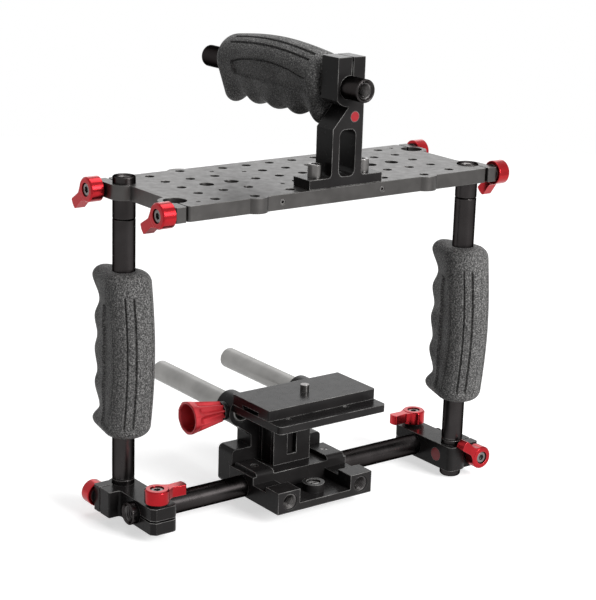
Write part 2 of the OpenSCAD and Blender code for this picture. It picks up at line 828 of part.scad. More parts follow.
// The finger side's high and low places as [distance from the lower end, reach]
finger_knots = [[0, guard_reach], [low_guard_in, guard_reach], [hollow_at[0], outer_hollow_reach],
                [hollow_at[0] + ridge_at[0] * finger_pitch, ridge_reach],
                [hollow_at[1], hollow_reach],
                [hollow_at[1] + ridge_at[1] * finger_pitch, ridge_reach],
                [hollow_at[2], hollow_reach],
                [hollow_at[2] + ridge_at[2] * finger_pitch, ridge_reach],
                [hollow_at[3], outer_hollow_reach], [grip_len - high_guard_in, guard_reach],
                [grip_len + 1, guard_reach]];

// Reach of the finger side at a distance t from the grip's lower end
function finger_reach(t) =
    let (i = max([for (k = [0:len(finger_knots) - 2]) t >= finger_knots[k][0] ? k : 0]),
         a = finger_knots[i], b = finger_knots[i + 1])
    a[1] + (b[1] - a[1]) * ease((t - a[0]) / (b[0] - a[0]));

// 1 along the middle of the grip, falling to 0 over the given run at both ends
function fade(t, start, run) = ease((min(t, grip_len - t) - start) / run);

// Half a section as [share, angle, cut]: the share runs from the finger circle, 0, along the
// flank to the palm circle, 1, and the flank's own angle is the given one
function grip_half(t, flank) =
    let (w = fade(t, 9, 26), d = side_panel_t * fade(t, 9, 5), g = palm_groove_t * fade(t, 8, 8),
         front = 1 - panel_flank * w, turn = (panel_back_turn - flank) * w)
    concat([for (i = [0:4]) [0, flank * i / 4, 0]],
           [[front - 0.06, flank, 0], [front, flank, d], [(1 + front) / 2, flank, d],
            [1, flank, d], [1, flank + turn / 2, d], [1, flank + turn, d],
            [1, flank + turn + 4, 0]],
           [for (k = [1, 0], e = [-4.5, 0, 4.5])
                [1, 180 - asin(palm_groove_v[k] / palm_r) + e, e == 0 ? g : 0]]);

function grip_ring(t, flank) =
    let (h = grip_half(t, flank), n = len(h))
    concat(h, [[1, 180, 0]], [for (i = [n - 1:-1:1]) [h[i][0], 360 - h[i][1], h[i][2]]]);

// Section outline: the hull of the palm circle and the finger circle
function grip_section(t) =
    let (end_t = min(t, grip_len - t),
         inset = end_t < grip_end_r
                 ? grip_end_r - sqrt(max(0, pow(grip_end_r, 2) - pow(grip_end_r - end_t, 2))) : 0,
         back = palm_back + palm_bulge * sin(180 * t / grip_len),
         front = finger_reach(t) - finger_r,
         flank = acos((palm_r - finger_r) / (front + back)))
    [for (p = grip_ring(t, flank))
        let (r = finger_r + (palm_r - finger_r) * p[0] - inset - p[2])
        [front - (front + back) * p[0] + r * cos(p[1]), r * sin(p[1]), t]];

grip_stations = concat([for (a = [0, 25, 50, 70]) grip_end_r * (1 - cos(a))],
                       [for (i = [0:grip_rings]) grip_end_r
                            + (grip_len - 2 * grip_end_r) * i / grip_rings],
                       [for (a = [70, 50, 25, 0]) grip_len - grip_end_r * (1 - cos(a))]);

module finger_grip() {
    rings = [for (t = grip_stations) grip_section(t)];
    n = len(rings[0]);
    m = len(rings);
    difference() {
        polyhedron(points = [for (r = rings) each r],
                   faces = concat([[for (i = [0:n - 1]) i]],
                                  [for (k = [0:m - 2], i = [0:n - 1])
                                       [k * n + i, (k + 1) * n + i, (k + 1) * n + (i + 1) % n]],
                                  [for (k = [0:m - 2], i = [0:n - 1])
                                       [k * n + i, (k + 1) * n + (i + 1) % n, k * n + (i + 1) % n]],
                                  [[for (i = [n - 1:-1:0]) (m - 1) * n + i]]));
        translate([0, 0, -1]) cylinder(r = rod_r + 0.02, h = grip_len + 2);
    }
}

module side_grip(x, y, turn) {
    color("#47474a")
        translate([x, y, -side_grip_drop]) rotate([0, 0, 90 + turn]) finger_grip();
}

module left_side_grip() { side_grip(-post_x, post_y, left_grip_turn); }
module right_side_grip() { side_grip(post_x, -post_y, 0); }

// ---- Handle ----

module handle_grip() {
    color("#47474a")
        translate([0, handle_grip_y, handle_up])
            rotate([-90, 0, 0]) rotate([0, 0, 90]) finger_grip();
}

module handle_tube() {
    color(black)
        translate([0, handle_tube_near, handle_up])
            rotate([-90, 0, 0]) tube(handle_tube_far - handle_tube_near);
}

function bracket_outline() =
    let (arc_top = acos(clamp_thin / clamp_r), top = handle_up + clamp_top)
    concat(outline([[-foot_half, 0, 0.5], [foot_half, 0, 0.5], [foot_half, foot_t, 0.5],
                    [column_half, foot_t, 2.5], [column_half, top, 0.5],
                    [-clamp_thin, top, 0.5], [-clamp_thin, handle_up, 0]]),
           [for (i = [0:8]) let (a = 180 + arc_top + (90 - arc_top) * i / 8)
               [clamp_r * cos(a), handle_up + clamp_r * sin(a)]],
           [[-column_half, column_top]],
           corner([-column_half, column_top], [-column_half, foot_t], [-foot_half, foot_t], 2.5),
           [[-foot_half, foot_t]]);

module handle_bracket() {
    color(black)
        difference() {
            plate_along_y(bracket_near, bracket_far)
                difference() {
                    polygon(bracket_outline());
                    polygon(box_outline(-window_half, window_half, foot_t,
                                        column_top - 0.6, window_r));
                    translate([pinch_x - pinch_slit_w / 2, handle_up])
                        square([pinch_slit_w, clamp_top + 1]);
                }
            translate([0, 0, handle_up]) rod_y(bracket_near - 1, bracket_far + 1, clamp_bore_r);
            for (s = [-1, 1]) translate([s * grid_pitch, bracket_y, -1])
                cylinder(d = quarter_hole_d, h = foot_t + 2);
            translate([0, bracket_y, pinch_z]) {
                rod_x(-clamp_thin + 2, column_half, pinch_d / 2 + screw_fit);
                rod_x(column_half - 4.2, column_half + 1, pinch_head_d / 2 + 0.2);
            }
            translate([inlay_x, 0, inlay_z]) rod_y(bracket_near - 1, bracket_near + inlay_t, inlay_d / 2);
        }
}

module bracket_inlay() {
    color(red)
        translate([inlay_x, 0, inlay_z]) rod_y(bracket_near, bracket_near + inlay_t, inlay_d / 2);
}

module bracket_foot_screws() {
    color(steel)
        for (s = [-1, 1]) translate([s * grid_pitch, bracket_y, foot_t])
            socket_screw(quarter_hole_d - 0.05, foot_head_d, foot_head_h, foot_t + plate_t - 0.5, 5);
}

module bracket_clamp_screw() {
    color(steel)
        translate([column_half - 4.2, bracket_y, pinch_z]) rotate([0, 90, 0])
            socket_screw(pinch_d, pinch_head_d, 4, column_half + clamp_thin - 7, 3);
}

// ---- Base ----

module base_solid() {
    x0 = -base_left;
    x1 = base_right;
    block(x0, x1, -base_near, rod_bracket_y, base_bottom, base_floor);
    for (x = [x0, x1 - near_block_w]) {
        block(x, x + near_block_w, -base_near, -base_near + near_block_d, base_bottom, block_up_z);
        block(x, x + near_block_w, -base_near, 0, base_bottom, base_bottom + step_t);
    }
    block(x0, x1, -housing_half, rod_bracket_y, base_bottom, deck_z);
    for (x = support_x)
        plate_along_x(x - housing_w / 2, x + housing_w / 2)
            polygon(box_outline(-housing_half, housing_half, base_floor, housing_z, 3));
    translate([tripod_x, -tripod_near, base_floor - 1])
        cylinder(d = tripod_boss_d, h = tripod_boss_h + 1);
}

// Extrudes a YZ outline from x0 to x1
module plate_along_x(x0, x1) {
    translate([x0, 0, 0]) rotate([90, 0, 90]) linear_extrude(x1 - x0) children();
}

module baseplate() {
    color(black)
        difference() {
            base_solid();
            translate([0, 0, rod_z]) rod_x(-base_left - 1, base_right + 1, clamp_bore_r);
            for (x = support_x) {
                translate([x, 0, (base_bottom + block_up_z) / 2]) {
                    rod_y(-base_near - 1, -base_near + socket_depth, socket_d / 2);
                    translate([0, -base_near, 0]) rotate([-90, 0, 0])
                        translate([0, 0, -0.5])
                            cylinder(r1 = socket_d / 2 + 1.3, r2 = socket_d / 2, h = 1.3);
                }
                translate([x, 0, rod_z]) cylinder(d = lock_screw_d, h = housing_up + 1);
            }
            translate([tripod_x, -tripod_near, base_bottom - 1])
                cylinder(d = bushing_d, h = floor_t + tripod_boss_h + 2);
            base_bolt_places() rod_y(-bolt_reach, 1, bolt_d / 2 + screw_fit);
        }
}

module base_lock_screws() {
    color(steel)
        for (x = support_x) translate([x, 0, housing_z - screw_sink - lock_screw_depth])
            difference() {
                cylinder(d = lock_screw_d, h = lock_screw_depth);
                translate([0, 0, lock_screw_depth - 2])
                    cylinder(d = lock_screw_d / 2, h = 3, $fn = 6);
            }
}

module tripod_bushing() {
    h = floor_t + tripod_boss_h - 1;
    color(steel)
        translate([tripod_x, -tripod_near, base_bottom])
            difference() {
                cylinder(d = bushing_d, h = h);
                translate([0, 0, -eps]) cylinder(d = quarter_hole_d, h = h - 3);
                translate([-bushing_d, -0.7, h - 1.4]) cube([2 * bushing_d, 1.4, 2]);
            }
}

// ---- Riser and rod bracket ----

bolt_d = 5;
bolt_head_d = 8.5;
bolt_head_h = 5;
bolt_reach = rod_bracket_y - rod_r - 2.5;

// Places of the bolts that hold the rod bracket to the base, at the bracket's near face
module base_bolt_places() {
    for (x = [-support_shift - base_bolt_x, -support_shift + base_bolt_x])
        translate([x, rod_bracket_y, base_bottom + base_bolt_up]) children();
}

module rod_bracket() {
    y0 = rod_bracket_y;
    mid = -support_shift;
    x0 = support_x[0] - lower_block_left;
    x1 = support_x[1] + lower_block_right;
    color(black)
        difference() {
            union() {
                translate([0, knob_y, support_z])
                    rod_x(collar_x, ear_out_x + 1, knob_small_d / 2 - 0.6);
                plate_along_y(y0, bracket_back) {
                    polygon(box_outline(x0, x1, base_bottom, lower_block_z, 3.5));
                    polygon(outline([[mid - neck_half, lower_block_z - 4, 0],
                                     [mid + neck_half, lower_block_z - 4, 0],
                                     [mid + neck_half, support_z - neck_drop, 2],
                                     [support_x[1] + ear_r * 0.8, support_z - ear_r * 0.6, 0],
                                     [support_x[1], support_z, 0],
                                     [support_x[0], support_z, 0],
                                     [support_x[0] - ear_r * 0.8, support_z - ear_r * 0.6, 0],
                                     [mid - neck_half, support_z - neck_drop, 2]]));
                    for (x = support_x) translate([x, support_z]) circle(r = ear_r);
                }
            }
            for (x = support_x) translate([x, 0, support_z]) rod_y(y0 - 1, bracket_back + 1, clamp_bore_r);
            translate([0, knob_y, support_z]) {
                rod_x(collar_x - 1, support_x[0], stud_d / 2 + screw_fit);
                rod_x(support_x[1], support_x[1] + ear_r + 1, lock_screw_d / 2 + screw_fit);
            }
            base_bolt_places() {
                rod_y(-1, rod_bracket_t + 1, bolt_d / 2 + screw_fit);
                rod_y(rod_bracket_t - bolt_head_h, rod_bracket_t + 1, bolt_head_d / 2 + 0.25);
            }
        }
}

module base_bolts() {
    color(steel)
        base_bolt_places()
            translate([0, rod_bracket_t - bolt_head_h, 0]) rotate([-90, 0, 0])
                socket_screw(bolt_d, bolt_head_d, bolt_head_h - screw_sink,
                             rod_bracket_t - bolt_head_h + bolt_reach - 0.5);
}

module riser_pillar() {
    mid = -support_shift;
    y0 = rod_bracket_y - pillar_d;
    groove = pillar_groove_w / 2;
    color(black)
        difference() {
            block(mid - pillar_half, mid + pillar_half, y0, rod_bracket_y, deck_z, qr_z);
            block(mid - groove, mid + groove, y0 - 1, y0 + pillar_groove_t,
                  deck_z + pillar_groove_up, qr_z + 1);
            for (side = [-1, 1])
                translate([mid + side * pillar_half, y0 + pillar_d / 2, 0])
                    block(-pillar_channel_t, pillar_channel_t, -pillar_channel_w / 2,
                          pillar_channel_w / 2, deck_z - 1, qr_z + 1);
        }
}

module support_rod(i) {
    color("#b9b7b4")
        translate([support_x[i], rod_bracket_y + 0.3, support_z])
            rotate([-90, 0, 0]) tube(support_len);
}

module left_support_rod() { support_rod(0); }
module right_support_rod() { support_rod(1); }

module rod_set_screw() {
    x0 = support_x[1] + clamp_bore_r + 0.1;
    color(steel)
        translate([0, knob_y, support_z])
            difference() {
                rod_x(x0, support_x[1] + ear_r - 0.6, lock_screw_d / 2);
                translate([support_x[1] + ear_r - 1.8, 0, 0]) rotate([0, 90, 0])
                    cylinder(d = lock_screw_d / 2, h = 3, $fn = 6);
            }
}

// ---- Clamp knob, its open end at the far left ----

module rod_clamp_knob() {
    slope = atan((knob_big_d - knob_small_d) / 2 / knob_len);
    color(red)
        translate([knob_start, knob_y, support_z]) rotate([0, -90, 0])
            difference() {
                cylinder(d1 = knob_small_d, d2 = knob_big_d, h = knob_len);
                translate([0, 0, knob_len - knob_hollow])
                    cylinder(d1 = knob_small_d - knob_wall, d2 = knob_big_d - 2 * knob_wall,
                             h = knob_hollow + eps);
                for (i = [0:knob_flutes - 1])
                    rotate([0, 0, 360 * i / knob_flutes])
                        translate([knob_small_d / 2 + flute_r * 0.35, 0, 0])
                            rotate([0, slope, 0]) {
                                translate([0, 0, -2])
                                    cylinder(r = flute_r, h = knob_len - knob_rim + 2);
                                translate([0, 0, knob_len - knob_rim]) sphere(r = flute_r);
                            }
                translate([0, 0, -eps]) cylinder(r = stud_d / 2 + screw_fit, h = knob_stud_in);
            }
}

module rod_clamp_stud() {
    color(steel)
        translate([0, knob_y, support_z])
            rod_x(knob_start - knob_stud_in + tip_gap / 2, stud_end, stud_d / 2);
}

// ---- Quick release ----

module rail_outline(gap) {
    polygon([[rail_y - rail_w / 2 - gap, qr_base_top - eps - gap],
             [rail_y + rail_w / 2 + gap, qr_base_top - eps - gap],
             [rail_y + rail_w / 2 + rail_flare + gap, qr_base_top + rail_h + gap],
             [rail_y - rail_w / 2 - rail_flare - gap, qr_base_top + rail_h + gap]]);
}

module quick_release_base() {
    color(black)
        difference() {
            union() {
                translate([0, 0, qr_z]) linear_extrude(qr_base_t)
                    polygon(outline([[-qr_left, -qr_near, 3], [qr_right, -qr_near, 3],
                                     [qr_right, qr_far, 0.5], [-qr_left, qr_far, 0.5]]));
                plate_along_x(-qr_left + 16, qr_right - 16) rail_outline(0);
            }
            for (x = qr_screw_x) translate([x, -qr_near + qr_screw_inset, qr_z - 1])
                cylinder(d = qr_screw_d, h = qr_base_t + 2);
        }
}

module quick_release_screws() {
    color(steel)
        for (x = qr_screw_x) translate([x, -qr_near + qr_screw_inset, qr_z])
            difference() {
                cylinder(d = qr_screw_d, h = qr_base_t - screw_sink);
                translate([0, 0, qr_base_t - 1.8]) cylinder(d = qr_screw_d / 2, h = 3, $fn = 6);
            }
}

head_room = 2.6;

module camera_plate() {
    color(black)
        difference() {
            translate([0, 0, camera_plate_bottom])
                linear_extrude(camera_plate_top - camera_plate_bottom)
                    polygon(outline([[-qr_left, -camera_plate_near, 1], [qr_right, -camera_plate_near, 1],
                                     [qr_right, qr_far, 0.5], [-qr_left, qr_far, 0.5]]));
            plate_along_x(-qr_left - 1, qr_right + 1) rail_outline(rail_gap);
            translate([camera_screw_x, rail_y, qr_base_top]) {
                cylinder(d = camera_head_d + 1, h = rail_h + rail_gap + head_room);
                cylinder(d = camera_screw_d + 0.1, h = camera_plate_t + 1);
            }
        }
}

module camera_screw() {
    head_z = qr_base_top + rail_h + rail_gap + 0.2;
    head_h = head_room - 0.2;
    color(steel)
        translate([camera_screw_x, rail_y, head_z])
            difference() {
                union() {
                    cylinder(d = camera_head_d, h = head_h);
                    cylinder(d = camera_screw_d, h = camera_plate_top + camera_screw_up - head_z);
                }
                translate([-camera_head_d, -0.8, -1]) cube([2 * camera_head_d, 1.6, 2]);
            }
}

// ---- Assembly ----

top_plate();
plate_set_screws();
plate_lever_washers();
near_left_plate_lever();
far_left_plate_lever();
near_right_plate_lever();
far_right_plate_lever();
near_left_plate_screw();
far_left_plate_screw();
near_right_plate_screw();
far_right_plate_screw();
left_post();
right_post();
left_post_extension();
right_post_extension();
right_post_end_cap();
left_side_grip();
right_side_grip();
left_corner_block();
right_corner_block();
block_lever_washers();
left_rod_lever();
right_rod_lever();
left_post_lever();
right_post_lever();
left_rod_screw();
right_rod_screw();
left_post_screw();
right_post_screw();
block_inlays();
cross_rod();
baseplate();
base_lock_screws();
base_bolts();
tripod_bushing();
riser_pillar();
rod_bracket();
left_support_rod();
right_support_rod();
rod_clamp_knob();
rod_clamp_stud();
rod_set_screw();
quick_release_base();
quick_release_screws();
camera_plate();
camera_screw();
handle_bracket();
bracket_foot_screws();
bracket_clamp_screw();
bracket_inlay();
handle_tube();
handle_grip();
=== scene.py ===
import json
import math
import bpy
from mathutils import Matrix, Vector


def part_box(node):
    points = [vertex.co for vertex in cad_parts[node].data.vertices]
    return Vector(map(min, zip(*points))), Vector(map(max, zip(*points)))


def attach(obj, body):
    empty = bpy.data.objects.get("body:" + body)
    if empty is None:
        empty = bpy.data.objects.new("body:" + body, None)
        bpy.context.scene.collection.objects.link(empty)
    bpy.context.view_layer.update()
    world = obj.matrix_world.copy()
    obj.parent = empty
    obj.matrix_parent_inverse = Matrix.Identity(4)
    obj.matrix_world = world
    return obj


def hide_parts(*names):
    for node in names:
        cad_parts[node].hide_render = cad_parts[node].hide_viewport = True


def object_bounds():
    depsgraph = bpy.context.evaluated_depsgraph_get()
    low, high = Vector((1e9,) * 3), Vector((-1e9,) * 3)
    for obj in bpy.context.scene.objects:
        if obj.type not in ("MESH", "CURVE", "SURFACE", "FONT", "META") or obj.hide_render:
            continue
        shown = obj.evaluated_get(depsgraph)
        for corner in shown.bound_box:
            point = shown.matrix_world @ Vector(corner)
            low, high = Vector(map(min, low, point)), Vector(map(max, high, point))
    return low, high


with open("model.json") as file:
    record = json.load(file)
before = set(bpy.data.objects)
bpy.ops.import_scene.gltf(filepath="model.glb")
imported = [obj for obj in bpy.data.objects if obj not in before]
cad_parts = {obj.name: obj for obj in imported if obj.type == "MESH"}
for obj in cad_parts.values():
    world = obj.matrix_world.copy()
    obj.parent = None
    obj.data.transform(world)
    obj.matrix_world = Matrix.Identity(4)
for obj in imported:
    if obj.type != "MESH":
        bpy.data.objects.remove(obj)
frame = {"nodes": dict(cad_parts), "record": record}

NODES = frame["nodes"]
cad_lo, cad_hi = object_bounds()
scene = bpy.context.scene
MM = 0.001


def mm(*v):
    return Vector(v) * MM


# ---- Camera, as fitted to the photograph's hole grid ----

AZIMUTH, ELEVATION, ROLL = -36.977, 15.835, 1.790
FOCAL_PX, PHOTO_LONG_SIDE, SENSOR = 1732.05, 600, 36
AIM = (0, 0, -100)
DISTANCE, TO_RIGHT, UPWARDS = 1.17554, -0.000086, 0.011781
NEAREST, FARTHEST = 0.05, 50


def make_camera():
    az, el, roll = (math.radians(a) for a in (AZIMUTH, ELEVATION, ROLL))
    back = Vector((math.sin(az) * math.cos(el), -math.cos(az) * math.cos(el), math.sin(el)))
    fwd = -back
    right = fwd.cross(Vector((0, 0, 1))).normalized()
    up = right.cross(fwd)
    right_r = right * math.cos(roll) + up * math.sin(roll)
    up_r = up * math.cos(roll) - right * math.sin(roll)
    data = bpy.data.cameras.new("camera")
    data.sensor_width = SENSOR
    data.lens = FOCAL_PX * SENSOR / PHOTO_LONG_SIDE
    data.clip_start, data.clip_end = NEAREST, FARTHEST
    cam = bpy.data.objects.new("camera", data)
    scene.collection.objects.link(cam)
    place = mm(*AIM) - fwd * DISTANCE + right_r * TO_RIGHT + up_r * UPWARDS
    turn = Matrix((right_r, up_r, back)).transposed().to_4x4()
    cam.matrix_world = Matrix.Translation(place) @ turn
    scene.camera = cam


# ---- Materials ----

# Noise scales, per metre
PATCH_SCALE, TONE_SCALE, MARK_SCALE, GRAIN_SCALE = 90, 38, 170, 2600
PEBBLE_SCALE, FLECK_SCALE = 900, 1000
# The lighter band along outer edges, partly rubbed-off finish and partly a painted highlight: its
# width, the ambient occlusion values at which it is full and at which it is gone, and the share
# of it that is left between the patches
WEAR_GLINT_WIDTH, WEAR_GLINT_FULL, WEAR_GLINT_GONE, WEAR_GLINT_LEFT = 0.0006, 0.55, 0.85, 0.1
GRAIN_HEIGHT, PEBBLE_HEIGHT, FLECK_HEIGHT = 0.00006, 0.0005, 0.0003
# How far tone and roughness drift from the values given, as factors
TONE_DARK, TONE_LIGHT, ROUGH_LOW, ROUGH_HIGH = 0.82, 1.16, 0.86, 1.16
# Sockets of a Mix node that mixes colours
MIX_FACTOR, MIX_FROM, MIX_TO, MIX_RESULT = 0, 6, 7, 2


class Shader:
    """A node material with small helpers for procedural detail."""

    def __init__(self, name):
        self.mat = bpy.data.materials.new(name)
        self.mat.use_nodes = True
        self.tree = self.mat.node_tree
        self.bsdf = self.tree.nodes["Principled BSDF"]
        self.coord = self.add("ShaderNodeTexCoord").outputs["Object"]

    def add(self, kind, **props):
        node = self.tree.nodes.new(kind)
        for k, v in props.items():
            setattr(node, k, v)
        return node

    def link(self, a, b):
        self.tree.links.new(a, b)

    def edge(self, radius):
        """A normal that rounds the part's edges, as broken edges on machined parts do."""
        b = self.add("ShaderNodeBevel", samples=4)
        b.inputs["Radius"].default_value = radius
        return b.outputs["Normal"]

    def wear_and_glint(self, colour, rubbed_and_glint):
        """Lightens outer edges in patches: partly rubbed-off finish, partly a painted highlight.
        """
        near = self.add("ShaderNodeAmbientOcclusion", samples=6, inside=True, only_local=True)
        near.inputs["Distance"].default_value = WEAR_GLINT_WIDTH
        share = self.add("ShaderNodeMath", operation="MULTIPLY")
        self.link(self.spread(near.outputs["AO"], 1.0, 0.0, WEAR_GLINT_FULL, WEAR_GLINT_GONE), share.inputs[0])
        self.link(self.spread(self.noise(PATCH_SCALE, 3), WEAR_GLINT_LEFT, 1.0), share.inputs[1])
        mix = self.add("ShaderNodeMix", data_type="RGBA")
        self.link(share.outputs[0], mix.inputs[MIX_FACTOR])
        self.link(colour, mix.inputs[MIX_FROM])
        mix.inputs[MIX_TO].default_value = (*rubbed_and_glint, 1)
        return mix.outputs[MIX_RESULT]

    def stretched(self, scale):
        m = self.add("ShaderNodeMapping")
        m.inputs["Scale"].default_value = scale
        self.link(self.coord, m.inputs["Vector"])
        return m.outputs["Vector"]

    def noise(self, scale, detail=4, rough=0.55, vector=None):
        n = self.add("ShaderNodeTexNoise")
        n.inputs["Scale"].default_value = scale
        n.inputs["Detail"].default_value = detail
        n.inputs["Roughness"].default_value = rough
        self.link(vector or self.coord, n.inputs["Vector"])
        return n.outputs["Fac"]

    def ramp(self, value, *stops):
        r = self.add("ShaderNodeValToRGB")
        els = r.color_ramp.elements
        while len(els) < len(stops):
            els.new(0.5)
        for e, (pos, col) in zip(els, stops):
            e.position = pos
            e.color = (*col, 1)
        self.link(value, r.inputs["Fac"])
        return r.outputs["Color"]

    def spread(self, value, lo, hi, a=0.3, b=0.7):
        """Maps a value that runs from a to b onto lo to hi."""
        m = self.add("ShaderNodeMapRange")
        for k, v in (("From Min", a), ("From Max", b), ("To Min", lo), ("To Max", hi)):
            m.inputs[k].default_value = v
        self.link(value, m.inputs["Value"])
        return m.outputs["Result"]

    def bump(self, height, strength, distance, normal=None):
        b = self.add("ShaderNodeBump")
        b.inputs["Strength"].default_value = strength
        b.inputs["Distance"].default_value = distance
        self.link(height, b.inputs["Height"])
        if normal:
            self.link(normal, b.inputs["Normal"])
        return b.outputs["Normal"]


def anodised(name, colour, rough, metallic, grain, stretch=(1, 1, 1), edge=0.0005,
             specular=0.5, tint=1.0, rubbed_and_glint=None):
    """Anodised aluminium: a fine blasted grain, slow tone drift and slight handling marks."""
    s = Shader(name)
    dark = [c * TONE_DARK for c in colour]
    light = [c * TONE_LIGHT + 0.002 for c in colour]
    tone = s.ramp(s.noise(TONE_SCALE, 3), (0.3, dark), (0.7, light))
    # Lighter outer edges: partly rubbed wear, partly a painted highlight
    if rubbed_and_glint:
        tone = s.wear_and_glint(tone, rubbed_and_glint)
    s.link(tone, s.bsdf.inputs["Base Color"])
    marks = s.noise(MARK_SCALE, 5, 0.6, s.stretched(stretch))
    s.link(s.spread(marks, rough * ROUGH_LOW, rough * ROUGH_HIGH), s.bsdf.inputs["Roughness"])
    fine = s.noise(GRAIN_SCALE, 2, 0.5, s.stretched(stretch))
    s.link(s.bump(fine, grain, GRAIN_HEIGHT, s.edge(edge)), s.bsdf.inputs["Normal"])
    s.bsdf.inputs["Metallic"].default_value = metallic
    s.bsdf.inputs["Specular IOR Level"].default_value = specular
    s.bsdf.inputs["Specular Tint"].default_value = (tint, tint, tint, 1)
    return s.mat


def foam_rubber(name):
    """Moulded grip rubber: a pebbled skin with pale flecks on it and black between."""
    s = Shader(name)
    pebbles = s.add("ShaderNodeTexVoronoi")
    pebbles.inputs["Scale"].default_value = PEBBLE_SCALE
    s.link(s.coord, pebbles.inputs["Vector"])
    fleck = s.noise(FLECK_SCALE, 3, 0.75)
    tone = s.ramp(fleck, (0.36, (0.010, 0.010, 0.010)), (0.50, (0.066, 0.065, 0.064)),
                  (0.66, (0.25, 0.245, 0.24)))
    s.link(tone, s.bsdf.inputs["Base Color"])
    s.link(s.spread(s.noise(60, 3), 0.55, 0.75), s.bsdf.inputs["Roughness"])
    s.bsdf.inputs["Specular IOR Level"].default_value = 0.3
    skin = s.bump(pebbles.outputs["Distance"], 0.9, PEBBLE_HEIGHT)
    s.link(s.bump(fleck, 0.5, FLECK_HEIGHT, skin), s.bsdf.inputs["Normal"])
    return s.mat


# The edge colours below are partly rubbed wear and partly a painted highlight; on black_block
# mostly highlight
MATS = {
    "plate_grey": anodised("plate_grey", (0.068, 0.065, 0.063), rough=0.38, metallic=0.95,
                           grain=0.12, rubbed_and_glint=(0.20, 0.195, 0.19)),
    "black_block": anodised("black_block", (0.014, 0.013, 0.013), rough=0.25, metallic=0.0,
                            grain=0.05, specular=0.08, edge=0.0007, rubbed_and_glint=(0.42, 0.41, 0.40)),
    "black_rod": anodised("black_rod", (0.031, 0.028, 0.028), rough=0.28, metallic=1.0,
                          grain=0.03, stretch=(1, 1, 0.15), tint=0.2,
                          rubbed_and_glint=(0.25, 0.24, 0.235)),
    "red_anodised": anodised("red_anodised", (0.35, 0.013, 0.018), rough=0.22, metallic=0.95,
                             grain=0.02, rubbed_and_glint=(0.60, 0.08, 0.09)),
    "red_knob": anodised("red_knob", (0.46, 0.022, 0.030), rough=0.36, metallic=0.45,
                         grain=0.02, edge=0.0001),
    "bare_aluminium": anodised("bare_aluminium", (0.25, 0.246, 0.238), rough=0.38,
                               metallic=0.95, grain=0.10, stretch=(1, 0.12, 1)),
    "screw_steel": anodised("screw_steel", (0.16, 0.154, 0.150), rough=0.28, metallic=1.0,
                            grain=0.05),
    "dark_washer": anodised("dark_washer", (0.02, 0.02, 0.02), rough=0.30, metallic=0.3,
                            grain=0.06, specular=0.2),
    "plain_inlay": anodised("plain_inlay", (0.26, 0.010, 0.016), rough=0.30, metallic=0.0,
                            grain=0.02, specular=0.3),
    "foam_rubber": foam_rubber("foam_rubber"),
}


def dress_cad_nodes():
    for part in frame["record"]["subparts"]:
        materials = NODES[part["node"]].data.materials
        materials.clear()
        materials.append(MATS[part["material_slot"]])


# ---- New pieces ----

# Places that several pieces share, in mm, as in the part's source
LEFT_POST, RIGHT_POST = (-119.4, 30), (119.4, -30)
TUBE_Z, ROD_Z = 63.4, -213.3


def new_piece(name, verts, faces, body, slot, sharp):
    """A smooth-shaded mesh from points in mm, with edges over the sharp angle left hard."""
    mesh = bpy.data.meshes.new(name)
    mesh.from_pydata([tuple(c * MM for c in v) for v in verts], [], faces)
    mesh.validate()
    mesh.shade_smooth()
    mesh.set_sharp_from_angle(angle=math.radians(sharp))
    obj = bpy.data.objects.new(name, mesh)
    scene.collection.objects.link(obj)
    mesh.materials.append(MATS[slot])
    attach(obj, body)
    return obj


def ring_pairs(around):
    """Each point of a ring with the one after it."""
    return [(i, (i + 1) % around) for i in range(around)]


def skin_faces(rings, around):
    """Faces that join each ring of points to the next."""
    faces = []
    for k in range(rings - 1):
        low, high = k * around, (k + 1) * around
        faces += [(low + i, low + j, high + j, high + i) for i, j in ring_pairs(around)]
    return faces


def ease(t):
    return (1 - math.cos(math.pi * max(0.0, min(1.0, t)))) / 2


# Sizes of the grips, as in the part's source
GRIP_LEN, FIRST, PITCH, LOW_TIP, HIGH_TIP = 111.5, 17.0, 24.5, 6.0, 5.0
HOLLOW, OUTER_HOLLOW, RIDGE, GUARD = 22.3, 20.0, 25.0, 27.5
PALM_R, PALM_BACK, BULGE, FINGER_R, END_R = 16.0, 2.6, 4.6, 9.0, 7.0
BORE_R = 7.52
GRIP_FOOT_Z, HANDLE_GRIP_Y, LEFT_GRIP_TURN = -169.5, -26.5, 8
# Panel and grooves follow the photograph: they are deeper than the source's and further from the
# palm's middle. The third groove is the fine parting line along that middle.
# The sunk side panel: front edge as a share of the flank, back edge in degrees, depth, the width
# of its edge, and the groove along its back edge
PANEL_FLANK, PANEL_BACK, PANEL_DEPTH, PANEL_EDGE = 0.42, 97.0, 1.5, 1.3
RIM_W, RIM_DEEP = 1.6, 1.0
# The panel's width at its ends, as a share of its middle's, where it starts, how long it is, and
# the power that shapes its curved edges
PANEL_END_W, PANEL_LOW, PANEL_LEN, PANEL_SHAPE = 0.6, 5, 87, 0.7
# Where panel and grooves start and end along the grip, and the run in which they fade out
PANEL_SPAN, GROOVE_SPAN = (6.5, 91, 1.8), (7, 99, 3)
# Each groove's distance from the palm's middle, its half width and its depth
GROOVES = ((11.7, 0.85, 1.5), (7.0, 1.0, 1.7), (0.0, 0.35, 0.35))
KNOTS = [(0, GUARD), (LOW_TIP, GUARD), (FIRST, OUTER_HOLLOW), (FIRST + 0.62 * PITCH, RIDGE),
         (FIRST + PITCH, HOLLOW), (FIRST + 1.56 * PITCH, RIDGE), (FIRST + 2 * PITCH, HOLLOW),
         (FIRST + 2.47 * PITCH, RIDGE), (FIRST + 3 * PITCH, OUTER_HOLLOW),
         (GRIP_LEN - HIGH_TIP, GUARD), (GRIP_LEN + 1, GUARD)]


